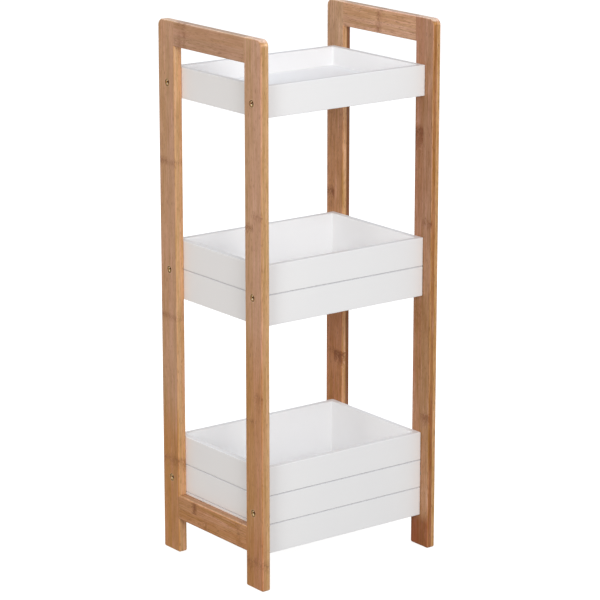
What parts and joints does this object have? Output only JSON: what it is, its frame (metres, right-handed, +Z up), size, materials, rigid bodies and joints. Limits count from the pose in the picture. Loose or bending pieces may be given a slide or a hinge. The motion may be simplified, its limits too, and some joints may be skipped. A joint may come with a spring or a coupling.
{
  "type": "bamboo shelf unit",
  "caption": "Narrow free-standing shelf unit with flat bamboo side frames, handle rails on top and open white trays that get deeper towards the floor.",
  "frame": {"origin": "middle of the footprint, on the surface that the feet stand on", "axes": "+Z up, +X to the right and +Y to the back, seen from the long front side"},
  "size_m": [0.32, 0.25, 0.8],
  "materials": {
    "bamboo": "laminated bamboo, satin clear lacquer",
    "white_lacquer": "fibreboard with satin white lacquer",
    "dowel_wood": "raw turned beech",
    "yellow_zinc": "steel with yellow zinc plating"
  },
  "bodies": {
    "root": {"left_front_post": "bamboo", "left_back_post": "bamboo", "left_bottom_rail": "bamboo", "left_handle_rail": "bamboo", "left_frame_dowels": "dowel_wood", "right_front_post": "bamboo", "right_back_post": "bamboo", "right_bottom_rail": "bamboo", "right_handle_rail": "bamboo", "right_frame_dowels": "dowel_wood", "upper_tray_front_board": "white_lacquer", "upper_tray_back_board": "white_lacquer", "upper_tray_left_board": "white_lacquer", "upper_tray_right_board": "white_lacquer", "upper_tray_floor": "white_lacquer", "upper_tray_dowels": "dowel_wood", "upper_tray_screws": "yellow_zinc", "middle_bin_front_board": "white_lacquer", "middle_bin_back_board": "white_lacquer", "middle_bin_left_board": "white_lacquer", "middle_bin_right_board": "white_lacquer", "middle_bin_floor": "white_lacquer", "middle_bin_dowels": "dowel_wood", "middle_bin_screws": "yellow_zinc", "lower_bin_front_board": "white_lacquer", "lower_bin_back_board": "white_lacquer", "lower_bin_left_board": "white_lacquer", "lower_bin_right_board": "white_lacquer", "lower_bin_floor": "white_lacquer", "lower_bin_dowels": "dowel_wood", "lower_bin_screws": "yellow_zinc"}
  },
  "joints": []
}
